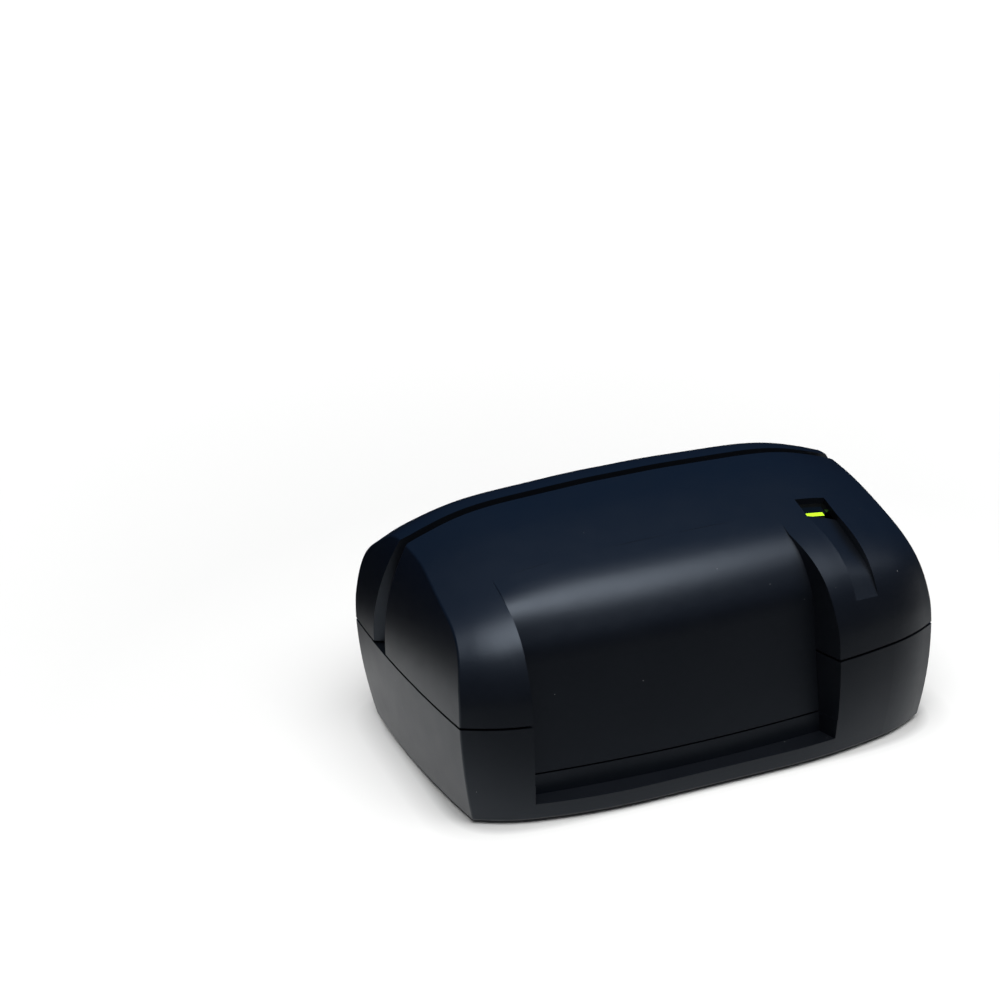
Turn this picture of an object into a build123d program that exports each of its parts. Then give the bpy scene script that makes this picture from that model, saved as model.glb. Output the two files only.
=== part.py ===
from build123d import *
from math import acos, cos, pi, radians, sin, sqrt, tan
import os

# A table-top cheque scanner. X runs along the document slot, -Y is the front, +Z is up, millimetres.
# The origin is on the table, under the middle of the housing.

os.makedirs("parts", exist_ok=True)

# Housing
half_length = 50.2
front_depth = 41.85
rear_depth = 23.0
base_height = 20.0
crown_rise = 26.45
slot_gap = 2.4
wall = 2.0
groove = 0.5
foot_height = 0.8

# Plan of the housing
front_flat = half_length - 37.2
front_radius = 99.0
rear_radius = 421.0
facet_x = half_length - 9.0
front_facet_slope = 0.56
rear_facet_slope = 0.43
end_radius = 330.0
end_apex = 10.0

# Profiles of the housing
hull_radius = 108.0
rear_hull_radius = 60.0
hull_edge = 0.55
lean_radius = 42.0
crown_radius = 450.0
shoulder_x = half_length - 24.2
shoulder_radius = 53.0
facet_fall = 0.375
facet_overrun = 11.0
facet_round = 30.0
rim_round = 0.6

# Front recess
recess_left = half_length - 15.13
recess_right = half_length - 29.3
recess_flare = 0.285
flare_start = 28.0
recess_back = 22.0
panel_depth = 36.9
panel_lean = 0.067
panel_radius = 260.0
panel_top = 29.0
brow_knots = ((3.85, 9.35), (1.15, 4.75))
panel_inset = 1.15
seam_height = 7.5
seam_gap = 0.35
ledge_height = 3.5
apron = 1.7
apron_gap = 0.3
side_gap = 0.1
lap = 2.0

# Indicator
window_left = half_length - 23.5
window_right = half_length - 17.4
window_back = 18.6
window_front = 23.65
groove_mouth = (0.05, 1.2)
groove_waist = (0.5, 1.7)
groove_foot = (0.4, 0.7)
groove_end = 40.0
groove_spread = 1.2
lens_clearance = 0.05
lens_sink = 1.3
light_sink = 0.35
light_left = window_left + 0.2
light_right = light_left + 3.5
light_width = 1.0

# Levels above the hull's bottom
floor_thickness = 2.0
board_height = 5.0
board_thickness = 1.6
chassis_height = 18.7
chassis_thickness = 1.5
track_height = 22.9

# Roller drive
nip_gap = 0.3
drive_x = 26.0
drive_radius = 6.0
drive_reach = 1.0
roller_bottom = 24.0
roller_length = 11.0
shaft_radius = 1.5
running_gap = 0.05
bush_wall = 0.7
bush_flange = 0.8
bush_rim = 0.5

# Gears
module = 0.6
drive_teeth = 35
small_teeth = 12
large_teeth = 32
pinion_teeth = 12
pressure_angle = 20.0
backlash = 0.06
idler_angle = 235.0
motor_angle = 195.0
large_bottom = 13.4
large_width = 2.2
small_width = 2.7
gear_step = 0.3
axial_gap = 0.3

# Motor
motor_radius = 7.5
motor_height = 16.0
motor_boss = 2.0

# Sprung arms
pinch_pivot_x = 35.0
pressure_x = -2.0
pressure_pivot_x = 8.0
pivot_y = 13.0
arm_roller_radius = 5.0
arm_thickness = 1.2
axle_radius = 1.0

# Head and reader
head_width = 12.0
head_reach = 0.9
head_back = 11.4
head_height = 14.0
reader_left = 36.0
reader_right = 20.0
reader_back = 16.0
glass_thickness = 1.2
window_top = 38.4
window_bottom = 23.7

slot_y = (front_depth - rear_depth) / 2
rear_slot_y = slot_y + slot_gap
front_y = slot_y - front_depth
rear_y = slot_y + rear_depth
hull_z = foot_height
parting_z = hull_z + base_height
base_top = parting_z - groove / 2
cover_foot = parting_z + groove / 2
deck_z = hull_z + chassis_height + chassis_thickness
chassis_z = hull_z + chassis_height
track_z = hull_z + track_height
board_z = hull_z + board_height
roller_z = hull_z + roller_bottom
floor_z = hull_z + floor_thickness
facet_end = facet_x + facet_overrun
stations = [facet_x * share for share in (-1, -0.87, -0.73, -0.56, -0.31, 0, 0.31, 0.56, 0.73, 0.87, 1)]


# Outlines of the housing


def front_reach(x):
    """Distance from the slot's front wall to the front of the housing, at the parting."""
    x = abs(x)
    bend = max(0.0, min(x, facet_x) - front_flat)
    return front_depth - bend**2 / (2 * front_radius) - max(0.0, x - facet_x) * front_facet_slope


def rear_reach(x):
    """Distance from the slot's front wall to the rear of the housing, at the parting."""
    x = abs(x)
    return rear_depth - min(x, facet_x) ** 2 / (2 * rear_radius) - max(0.0, x - facet_x) * rear_facet_slope


def end_reach(y):
    """Half length of the housing at y from the slot, at the parting."""
    return half_length - (y - end_apex) ** 2 / (2 * end_radius)


def rise(x):
    """Height of the crown line above the parting."""
    x = abs(x)
    bend = min(x, facet_x)
    drop = bend**2 / (2 * crown_radius) + max(0.0, bend - shoulder_x) ** 2 / (2 * shoulder_radius)
    return crown_rise - drop - (x - bend) * facet_fall


def corner(reach, side):
    """Corner between a facet and the bowed end, from the slot."""
    x = half_length
    for _ in range(5):
        x = end_reach(side * reach(x))
    return x, side * reach(x)


def housing_plan(height, inset, rear_inset):
    """Plan of the housing at a height, moved in from its outline at the parting."""
    front_x, front_corner = corner(front_reach, -1)
    rear_x, rear_corner = corner(rear_reach, 1)
    front_start = (front_flat, front_y + inset)
    front_end = (facet_x - 0.75 * inset, slot_y - front_reach(facet_x) + inset)
    front_point = (front_x - inset, slot_y + front_corner + inset)
    rear_point = (rear_x - inset, slot_y + rear_corner - rear_inset)
    rear_end = (facet_x - 0.75 * inset, slot_y + rear_reach(facet_x) - rear_inset)
    with BuildSketch(Plane.XY.offset(height)) as plan:
        with BuildLine():
            Line((0, front_y + inset), front_start)
            TangentArc(front_start, front_end, tangent=(1, 0))
            Line(front_end, front_point)
            ThreePointArc(front_point, (half_length - inset, slot_y + end_apex), rear_point)
            Line(rear_point, rear_end)
            TangentArc((0, rear_y - rear_inset), rear_end, tangent=(1, 0))
            mirror(about=Plane.YZ)
        make_face()
    return plan.sketch


def hull(inset, bottom, top):
    """The base's tapered body between two heights, moved in by inset."""
    with BuildPart() as body:
        levels = [bottom + (top - bottom) * share for share in (0, 0.35, 0.7, 1)]
        taper = [(parting_z - level) ** 2 / (2 * hull_radius) for level in levels]
        rear_taper = [(parting_z - level) ** 2 / (2 * rear_hull_radius) for level in levels]
        loft([housing_plan(h, t + inset, r + inset) for h, t, r in zip(levels, taper, rear_taper)])
    return body.part


def ends(inset):
    """Block between the covers' leaning, bowed ends."""
    near = front_y - slot_y - wall
    far = rear_y - slot_y + wall
    with BuildPart() as block:
        sections = []
        for height in [share * (crown_rise + wall) for share in (-0.2, 0, 0.2, 0.4, 0.6, 0.8, 1)]:
            lean = lean_radius - sqrt(lean_radius**2 - max(0.0, height) ** 2) + inset
            with BuildSketch(Plane.XY.offset(parting_z + height)) as section:
                with BuildLine():
                    ThreePointArc(
                        (end_reach(near) - lean, slot_y + near),
                        (half_length - lean, slot_y + end_apex),
                        (end_reach(far) - lean, slot_y + far),
                    )
                    Line((0, slot_y + near), (end_reach(near) - lean, slot_y + near))
                    Line((0, slot_y + far), (end_reach(far) - lean, slot_y + far))
                    mirror(about=Plane.YZ)
                make_face()
            sections.append(section.sketch)
        loft(sections)
    return block.part


def arch(x, side, inset):
    """Section of a cover at x: slot wall, crown, brow and foot."""
    start = slot_y - inset if side < 0 else rear_slot_y + inset
    depth = front_reach(x) - 2 * inset if side < 0 else rear_reach(x) - slot_gap - 2 * inset
    height = rise(x) - inset
    foot = cover_foot - 2 * inset
    crown = (start, parting_z + height)
    brow = (start + side * 0.575 * depth, parting_z + 0.853 * height)
    front = (start + side * depth, foot)
    with BuildSketch(Plane.YZ.offset(x)) as section:
        with BuildLine():
            Line((start, foot), crown)
            Spline(
                crown,
                (start + side * 0.262 * depth, parting_z + 0.973 * height),
                (start + side * 0.39 * depth, parting_z + 0.93 * height),
                brow,
                tangents=[(side * depth, -0.03 * height), (side * depth, -0.44 * height)],
            )
            Spline(
                brow,
                (start + side * 0.77 * depth, parting_z + 0.75 * height),
                (start + side * 0.907 * depth, parting_z + 0.57 * height),
                (start + side * 0.98 * depth, parting_z + 0.3 * height),
                front,
                tangents=[(side * depth, -0.44 * height), (0, -1)],
            )
            Line(front, (start, foot))
        make_face()
    return section.sketch


def panel_line(x, height):
    """Y of the recessed panel's straight lower part."""
    return slot_y - panel_depth + x**2 / (2 * panel_radius) + panel_lean * (height - hull_z - seam_height)


def panel(x, inset):
    """Section of the front cover through the recessed panel, with its apron."""
    start = slot_y - inset
    depth = front_reach(x) - 2 * inset
    height = rise(x) - panel_inset * inset
    crown = (start, parting_z + height)
    brow = (start - 0.575 * depth, parting_z + 0.853 * height)
    top = hull_z + panel_top
    face = panel_line(x, top) + inset
    foot = cover_foot - 2 * inset
    hem = hull_z + seam_height + seam_gap
    with BuildSketch(Plane.YZ.offset(x)) as section:
        with BuildLine():
            Line((start, foot), crown)
            Spline(
                crown,
                (start - 0.262 * depth, parting_z + 0.973 * height),
                (start - 0.39 * depth, parting_z + 0.93 * height),
                brow,
                tangents=[(-depth, -0.03 * height), (-depth, -0.44 * height)],
            )
            Spline(
                brow,
                (face + brow_knots[0][0], top + brow_knots[0][1] - 0.7 * inset),
                (face + brow_knots[1][0], top + brow_knots[1][1] - 0.5 * inset),
                (face, top),
                tangents=[(-depth, -0.44 * height), (-panel_lean, -1)],
            )
            if inset == 0:
                Polyline(
                    (face, top),
                    (panel_line(x, hem), hem),
                    (panel_line(x, hem) + apron, hem),
                    (panel_line(x, foot) + apron, foot),
                    (start, foot),
                )
            else:
                Polyline((face, top), (panel_line(x, foot) + inset, foot), (start, foot))
        make_face()
    return section.sketch


def recess(bottom, top, grow):
    """The recess between the shoulders, upright, with its flared right wall."""
    with BuildPart() as block:
        with BuildSketch(Plane.XY.offset(bottom)):
            with BuildLine():
                mouth = front_y - wall
                reach = slot_y - flare_start - mouth
                spread = recess_flare * reach
                Polyline(
                    (recess_right + grow, slot_y - flare_start),
                    (recess_right + grow, slot_y - recess_back + grow),
                    (-recess_left - grow, slot_y - recess_back + grow),
                    (-recess_left - grow, mouth),
                    (recess_right + spread + grow, mouth),
                )
                ThreePointArc(
                    (recess_right + grow, slot_y - flare_start),
                    (recess_right + grow + 0.42 * spread, slot_y - flare_start - reach / 2),
                    (recess_right + spread + grow, mouth),
                )
            make_face()
        extrude(amount=top - bottom)
    return block.part


def cover_body(side, inset):
    """A cover's outer body, moved in by inset, without the recess."""
    with BuildPart() as body:
        loft([arch(x, side, inset) for x in stations])
        for end in (-1, 1):
            loft([arch(end * facet_x, side, inset), arch(end * facet_end, side, inset)], ruled=True)
        add(ends(inset), mode=Mode.INTERSECT)
        if inset == 0:
            creases = body.edges().filter_by(lambda edge: abs(abs(edge.center().X) - facet_x) < wall / 2)
            fillet(creases.filter_by(lambda edge: edge.length > crown_rise), facet_round)
            rims = body.edges().filter_by(lambda edge: abs(edge.center().X) > facet_x + wall)
            fillet(rims.filter_by(lambda edge: edge.center().Z > parting_z + wall and edge.length > 5 * wall), rim_round)
    return body.part


def front_body(inset):
    """The front cover's outer body with the recess and the panel, moved in by inset."""
    low = hull_z
    high = parting_z + 2 * crown_rise
    panel_stations = [facet_x * share for share in (-1, -0.75, -0.5, -0.25, 0, 0.25, 0.5, 0.75)]
    with BuildPart() as middle:
        loft([panel(x, inset) for x in panel_stations])
        add(recess(low, high, inset), mode=Mode.INTERSECT)
    with BuildPart() as body:
        add(cover_body(-1, inset))
        add(recess(low, high, inset), mode=Mode.SUBTRACT)
        add(middle.part)
    return body.part


def niche(bottom, top, grow, back):
    """The recess in front of the panel, whose rear follows the panel's bow."""
    side = recess_left + 2 * wall
    with BuildPart() as block:
        with BuildSketch(Plane.XY.offset(bottom)):
            with BuildLine():
                rear_side = panel_line(side, hull_z + seam_height) + back
                ThreePointArc(
                    (-side, rear_side),
                    (0, panel_line(0, hull_z + seam_height) + back),
                    (side, rear_side),
                )
                Polyline((side, rear_side), (side, front_y - wall), (-side, front_y - wall), (-side, rear_side))
            make_face()
        extrude(amount=top - bottom)
        add(recess(bottom, top, grow), mode=Mode.INTERSECT)
    return block.part


# Screws, bosses and feet

cover_screws = [(x, slot_y + y) for y in (-29.0, 14.5) for x in (8.7 - half_length, half_length - 8.7)]
chassis_screws = [(x, slot_y + y) for y in (-18.0, 8.4) for x in (9.2 - half_length, half_length - 9.2)]
board_posts = [(x, slot_y + y) for y in (-24.0, 12.0) for x in (-32.0, 32.0)]
feet = [(x, slot_y + y) for y in (-31.0, 13.5) for x in (-31.0, 31.0)]
cover_boss = 3.4
cover_pillar = 2.8
chassis_boss = 2.6
board_boss = 2.2
foot_radius = 4.0
foot_seat = 0.6
screw_radius = 1.2
screw_head = 2.2
screw_head_height = 1.4
screw_seat = 8.0
screw_reach = 6.0
screw_gap = 0.1
socket_depth = 0.8
socket_size = 0.9

# Socket
socket_x = 20.0
socket_width = 7.7
socket_height = 3.9
socket_length = 9.2
socket_shell = 0.4
socket_gap = 0.3

# Tongue that closes the parting from inside
tongue_gap = 0.15
tongue_width = 1.0
tongue_rise = 1.0
tongue_root = 3.0

# Flared mouths of the slot
flare_length = 8.0
flare_width = 4.5
front_flare_length = 5.0
front_flare_width = 1.3

apron_room = apron + apron_gap + panel_lean * (base_height - seam_height)
socket_z = board_z + board_thickness


# Base casing

with BuildPart() as base_cavity:
    add(hull(wall, floor_z, parting_z + groove))
    add(niche(floor_z, hull_z + seam_height + lap, wall, apron_room + wall), mode=Mode.SUBTRACT)
    add(niche(floor_z, parting_z + wall, wall, apron_room), mode=Mode.SUBTRACT)
    with BuildSketch(Plane.XY.offset(floor_z)):
        with Locations(*cover_screws):
            Circle(cover_boss)
    extrude(amount=base_height, mode=Mode.SUBTRACT)
    with BuildSketch(Plane.XY.offset(floor_z)):
        with Locations(*chassis_screws):
            Circle(chassis_boss)
    extrude(amount=chassis_z - floor_z, mode=Mode.SUBTRACT)
    with BuildSketch(Plane.XY.offset(floor_z)):
        with Locations(*board_posts):
            Circle(board_boss)
    extrude(amount=board_z - floor_z, mode=Mode.SUBTRACT)

tongue_foot = parting_z - tongue_root
tongue_inner = wall + tongue_gap + tongue_width

with BuildPart() as tongue:
    extrude(housing_plan(tongue_foot, wall / 2, wall / 2), amount=tongue_root - wall)
    extrude(housing_plan(tongue_foot, wall + tongue_gap, wall + tongue_gap), amount=tongue_root + tongue_rise)
    tongue_inside = housing_plan(tongue_foot, tongue_inner, tongue_inner)
    extrude(tongue_inside, amount=tongue_root + tongue_rise, mode=Mode.SUBTRACT)

with BuildPart() as base_casing:
    add(hull(0, hull_z, base_top))
    upright = base_casing.edges().filter_by(lambda edge: edge.bounding_box().size.Z > base_height / 2)
    fillet(upright.filter_by(lambda edge: abs(edge.center().X) > facet_x + 2 * wall), rim_round)
    upright = base_casing.edges().filter_by(lambda edge: edge.bounding_box().size.Z > base_height / 2)
    fillet(upright.filter_by(lambda edge: abs(abs(edge.center().X) - facet_x) < wall), facet_round)
    fillet(base_casing.faces().sort_by(Axis.Z)[0].edges(), hull_edge)
    add(base_cavity.part, mode=Mode.SUBTRACT)
    add(tongue.part)
    with BuildSketch(Plane.XY.offset(tongue_foot)):
        with Locations(*cover_screws):
            Circle(cover_boss)
    extrude(amount=cover_foot - tongue_foot)
    with BuildSketch(Plane.XY.offset(cover_foot)):
        with Locations(*cover_screws):
            Circle(cover_pillar + tongue_gap)
    extrude(amount=tongue_rise, mode=Mode.SUBTRACT)
    with BuildSketch(Plane.XY.offset(tongue_foot)):
        with Locations(*chassis_screws):
            Circle(chassis_boss)
    extrude(amount=chassis_z - tongue_foot)
    add(niche(base_top, parting_z + 2 * wall, wall + tongue_gap, 4 * wall), mode=Mode.SUBTRACT)
    with BuildSketch(Plane.XY.offset(base_top)):
        with Locations((0, (slot_y + rear_slot_y + flare_width) / 2)):
            Rectangle(2 * half_length, slot_gap + flare_width + 2 * (wall + tongue_gap))
    extrude(amount=tongue_rise + groove, mode=Mode.SUBTRACT)
    add(niche(hull_z + ledge_height, parting_z + 2 * wall, 0, 0), mode=Mode.SUBTRACT)
    add(niche(hull_z + seam_height, parting_z + 2 * wall, side_gap, apron_room), mode=Mode.SUBTRACT)
    with BuildSketch(Plane.XY.offset(hull_z)):
        with Locations(*cover_screws):
            Circle(screw_head + screw_gap)
    extrude(amount=screw_seat, mode=Mode.SUBTRACT)
    with BuildSketch(Plane.XY.offset(hull_z)):
        with Locations(*cover_screws):
            Circle(screw_radius + screw_gap)
    extrude(amount=2 * base_height, mode=Mode.SUBTRACT)
    with BuildSketch(Plane.XY.offset(chassis_z)):
        with Locations(*chassis_screws):
            Circle(screw_radius)
    extrude(amount=-screw_reach - wall, mode=Mode.SUBTRACT)
    with BuildSketch(Plane.XY.offset(hull_z)):
        with Locations(*feet):
            Circle(foot_radius)
    extrude(amount=foot_seat, mode=Mode.SUBTRACT)
    with BuildSketch(Plane.XZ.offset(-rear_y)):
        with Locations((socket_x, socket_z + socket_height / 2)):
            Rectangle(socket_width + 2 * socket_gap, socket_height + 2 * socket_gap)
    extrude(amount=4 * wall, mode=Mode.SUBTRACT)
base_casing.part.label = "base_casing"
export_step(base_casing.part, "parts/base_casing.step")


# Front cover

cover_top = parting_z + 2 * crown_rise
arm_roller_y = slot_y + drive_reach + nip_gap + arm_roller_radius
drive_y = slot_y + drive_reach - drive_radius
sensor_x = half_length - 9.2
sensor_z = 28.0
sensor_hole = 1.2
pressure_y = slot_y + head_reach + nip_gap + arm_roller_radius


def slot_window(left, right, bottom, top, near, far):
    """Opening through a slot wall."""
    with BuildPart() as opening:
        with BuildSketch(Plane.XY.offset(bottom)):
            with Locations(((left + right) / 2, (near + far) / 2)):
                Rectangle(right - left, far - near)
        extrude(amount=top - bottom)
    return opening.part


def indicator_block(gap, bottom, top):
    """Upright block with the indicator's outline."""
    with BuildPart() as block:
        with BuildSketch(Plane.XY.offset(bottom)):
            with Locations(((window_left + window_right) / 2, slot_y - (window_back + window_front) / 2)):
                Rectangle(window_right - window_left - 2 * gap, window_front - window_back - 2 * gap)
        extrude(amount=top - bottom)
    return block.part


def groove_profile(x):
    """Section of the groove at x, open above, over a floor that sinks under the shoulder and comes back to it."""
    across = (x - window_left) / (window_right - window_left)
    depths = (groove_mouth, groove_waist, groove_foot)
    mouth, waist, foot = (left + (right - left) * across for left, right in depths)
    depth = front_reach(x)
    crest = rise(x)
    back = (slot_y - 0.39 * depth, parting_z + 0.93 * crest - mouth)
    end = (slot_y - 0.98 * depth - wall, parting_z + 0.3 * crest)
    with BuildSketch(Plane.YZ.offset(x)) as section:
        with BuildLine():
            Spline(
                back,
                (slot_y - 0.575 * depth, parting_z + 0.853 * crest - mouth),
                (slot_y - 0.77 * depth + 0.5 * waist, parting_z + 0.75 * crest - 0.8 * waist),
                (slot_y - 0.907 * depth + 0.8 * foot, parting_z + 0.57 * crest - 0.4 * foot),
                (slot_y - 0.97 * depth, parting_z + 0.38 * crest),
                end,
            )
            Polyline(end, (end[0], cover_top), (back[0], cover_top), back)
        make_face()
    return section.sketch


def groove_block():
    """Tapering groove from the indicator down the shoulder."""
    with BuildPart() as block:
        loft([groove_profile(x) for x in (window_left - wall, light_right, window_right + 2 * wall)])
        with BuildSketch(Plane.XY):
            with BuildLine():
                Polyline(
                    (window_left, slot_y - window_front),
                    (window_right, slot_y - window_front),
                    (window_right + groove_spread, slot_y - groove_end),
                    (window_left + 2 * groove_spread, slot_y - groove_end),
                    close=True,
                )
            make_face()
        extrude(amount=cover_top, mode=Mode.INTERSECT)
    return block.part


with BuildPart() as front_cavity:
    add(front_body(wall))
    add(groove_block().moved(Location((0, 0, -wall))), mode=Mode.SUBTRACT)
    with BuildSketch(Plane.XY.offset(hull_z)):
        with Locations(*cover_screws[:2]):
            Circle(cover_pillar)
    extrude(amount=cover_top, mode=Mode.SUBTRACT)

with BuildPart() as front_cover:
    add(front_body(0))
    add(front_cavity.part, mode=Mode.SUBTRACT)
    add(groove_block(), mode=Mode.SUBTRACT)
    add(indicator_block(0, track_z, cover_top), mode=Mode.SUBTRACT)
    with BuildSketch(Plane.XY.offset(hull_z)):
        for side in (-1, 1):
            with BuildLine():
                tip = side * (half_length + wall)
                inner = side * (half_length - front_flare_length)
                middle = side * (half_length - 0.3 * front_flare_length)
                ThreePointArc(
                    (inner, slot_y),
                    (middle, slot_y - 0.45 * front_flare_width),
                    (tip, slot_y - 1.6 * front_flare_width),
                )
                Polyline((inner, slot_y), (tip, slot_y), (tip, slot_y - 1.6 * front_flare_width))
            make_face()
    extrude(amount=cover_top, mode=Mode.SUBTRACT)
    window_low = hull_z + window_bottom
    window_high = hull_z + window_top
    roller_high = roller_z + roller_length + 2 * axial_gap
    near = slot_y - wall - 0.5
    add(
        slot_window(drive_x - drive_radius, drive_x + drive_radius, window_low, roller_high, near, slot_y),
        mode=Mode.SUBTRACT,
    )
    head_middle = pressure_x
    add(
        slot_window(
            head_middle - head_width / 2 - 0.4,
            head_middle + head_width / 2 + 0.4,
            window_low,
            window_high,
            slot_y - wall - 0.5,
            slot_y,
        ),
        mode=Mode.SUBTRACT,
    )
    add(
        slot_window(
            -reader_left + 0.6, -reader_right - 0.6, window_low, window_high, slot_y - wall - 0.5, slot_y
        ),
        mode=Mode.SUBTRACT,
    )
    with BuildSketch(Plane.XZ.offset(-slot_y)):
        with Locations((-sensor_x, hull_z + sensor_z), (sensor_x, hull_z + sensor_z)):
            Circle(sensor_hole)
    extrude(amount=wall + 1, mode=Mode.SUBTRACT)
    with BuildSketch(Plane.XY.offset(cover_foot)):
        with Locations(*cover_screws[:2]):
            Circle(screw_radius)
    extrude(amount=screw_reach + wall, mode=Mode.SUBTRACT)
front_cover.part.label = "front_cover"
export_step(front_cover.part, "parts/front_cover.step")


# Rear cover

with BuildPart() as rear_cavity:
    add(cover_body(1, wall))
    with BuildSketch(Plane.XY.offset(hull_z)):
        with Locations(*cover_screws[2:]):
            Circle(cover_pillar)
        for side in (-1, 1):
            with BuildLine():
                tip = side * (half_length + wall)
                inner = side * (half_length - flare_length - wall)
                ThreePointArc(
                    (inner, rear_slot_y),
                    (side * (half_length - 0.35 * flare_length - 0.4 * wall), rear_slot_y + 0.3 * flare_width + wall),
                    (tip, rear_slot_y + flare_width + 2 * wall),
                )
                Polyline((inner, rear_slot_y), (tip, rear_slot_y), (tip, rear_slot_y + flare_width + 2 * wall))
            make_face()
    extrude(amount=cover_top, mode=Mode.SUBTRACT)

with BuildPart() as rear_cover:
    add(cover_body(1, 0))
    add(rear_cavity.part, mode=Mode.SUBTRACT)
    with BuildSketch(Plane.XY.offset(hull_z)):
        for side in (-1, 1):
            with BuildLine():
                tip = side * (half_length + wall)
                inner = side * (half_length - flare_length)
                ThreePointArc(
                    (inner, rear_slot_y),
                    (side * (half_length - 0.35 * flare_length), rear_slot_y + 0.3 * flare_width),
                    (tip, rear_slot_y + flare_width + 1),
                )
                Polyline((inner, rear_slot_y), (tip, rear_slot_y), (tip, rear_slot_y + flare_width + 1))
            make_face()
    extrude(amount=cover_top, mode=Mode.SUBTRACT)
    for middle in (drive_x, pressure_x):
        add(
            slot_window(
                middle - arm_roller_radius - 0.3,
                middle + arm_roller_radius + 0.3,
                window_low,
                roller_high,
                rear_slot_y,
                rear_slot_y + wall + 0.5,
            ),
            mode=Mode.SUBTRACT,
        )
    with BuildSketch(Plane.XY.offset(cover_foot)):
        with Locations(*cover_screws[2:]):
            Circle(screw_radius)
    extrude(amount=screw_reach + wall, mode=Mode.SUBTRACT)
rear_cover.part.label = "rear_cover"
export_step(rear_cover.part, "parts/rear_cover.step")


# Indicator: lens, light guide, lamp and its board

guide_gap = 0.1
light_y = slot_y - window_front + light_width / 2 + lens_clearance
light_x = (light_left + light_right) / 2
lens_z = parting_z + 0.83 * rise(window_right)
lamp_board_thickness = 1.0
lamp_height = 0.8

with BuildPart() as indicator_lens:
    add(cover_body(-1, lens_sink))
    add(indicator_block(lens_clearance, lens_z, cover_top), mode=Mode.INTERSECT)
    add(
        slot_window(
            light_left - guide_gap,
            light_right + guide_gap,
            hull_z,
            cover_top,
            slot_y - window_front,
            light_y + light_width / 2 + guide_gap,
        ),
        mode=Mode.SUBTRACT,
    )
indicator_lens.part.label = "indicator_lens"
export_step(indicator_lens.part, "parts/indicator_lens.step")

with BuildPart() as light_guide:
    with BuildSketch(Plane.XY.offset(deck_z + lamp_board_thickness)):
        with Locations((light_x, light_y)):
            Rectangle(light_right - light_left + 3, light_width + 3)
    extrude(amount=2.4)
    with BuildSketch(Plane.XY.offset(deck_z + lamp_board_thickness)):
        with Locations((light_x, light_y)):
            Rectangle(light_right - light_left, light_width)
    extrude(amount=cover_top - deck_z)
    add(cover_body(-1, light_sink), mode=Mode.INTERSECT)
    with BuildSketch(Plane.XY.offset(deck_z + lamp_board_thickness)):
        with Locations((light_x, light_y)):
            Rectangle(3.6, 2.0)
    extrude(amount=lamp_height + guide_gap, mode=Mode.SUBTRACT)
light_guide.part.label = "light_guide"
export_step(light_guide.part, "parts/light_guide.step")

with BuildPart() as indicator_lamp:
    with BuildSketch(Plane.XY.offset(deck_z + lamp_board_thickness)):
        with Locations((light_x, light_y)):
            Rectangle(3.2, 1.6)
    extrude(amount=lamp_height)
indicator_lamp.part.label = "indicator_lamp"
export_step(indicator_lamp.part, "parts/indicator_lamp.step")

with BuildPart() as indicator_board:
    with BuildSketch(Plane.XY.offset(deck_z)):
        with Locations((light_x + 1, light_y + 1)):
            RectangleRounded(13, 9, 1)
    extrude(amount=lamp_board_thickness)
indicator_board.part.label = "indicator_board"
export_step(indicator_board.part, "parts/indicator_board.step")


# Track that the document stands on

with BuildPart() as document_track:
    with BuildSketch(Plane.XY.offset(deck_z)):
        with Locations((0, slot_y + slot_gap / 2)):
            Rectangle(2 * (half_length - 4.2), slot_gap - 2 * side_gap)
    extrude(amount=track_z - deck_z)
    chamfer(document_track.edges().filter_by(Axis.Y).sort_by(Axis.Z)[-2:], 0.8)
document_track.part.label = "document_track"
export_step(document_track.part, "parts/document_track.step")


# Chassis plate and the places of what it carries

idler_distance = module * (drive_teeth + small_teeth) / 2
motor_distance = module * (large_teeth + pinion_teeth) / 2
idler_x = drive_x + idler_distance * cos(radians(idler_angle))
idler_y = drive_y + idler_distance * sin(radians(idler_angle))
motor_x = idler_x + motor_distance * cos(radians(motor_angle))
motor_y = idler_y + motor_distance * sin(radians(motor_angle))
bush_radius = shaft_radius + running_gap + bush_wall
pin_radius = 1.2
motor_screw_reach = 5.0
motor_screw_radius = 0.8
pinch_pivot = (pinch_pivot_x, slot_y + pivot_y - 1)
pressure_pivot = (pressure_pivot_x, slot_y + pivot_y - 1)
motor_screw_spots = [(motor_x - motor_screw_reach, motor_y), (motor_x + motor_screw_reach, motor_y)]

arm_hub = 2.6
arm_tip = 1.7
spring_wire = 0.36
spring_pitch = 0.5
spring_turns = 2
spring_gap = 0.15
spring_leg = 3.6
spring_post = 0.6
post_reach = 3.0
pinch_place = (drive_x, arm_roller_y)
pressure_place = (pressure_x, pressure_y)
coil_radius = arm_hub + spring_gap + spring_wire / 2


def arm_spot(pivot, roller, along, outward):
    """Point at distances along an arm from its pivot, and outward from the arm's centre line."""
    lead = Vector(roller[0] - pivot[0], roller[1] - pivot[1]).normalized()
    return (
        pivot[0] + lead.X * along + lead.Y * outward,
        pivot[1] + lead.Y * along - lead.X * outward,
    )


post_offset = coil_radius - spring_wire / 2 - spring_post
post_spots = [
    arm_spot(pinch_pivot, pinch_place, -post_reach, post_offset),
    arm_spot(pressure_pivot, pressure_place, -post_reach, post_offset),
]

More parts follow.
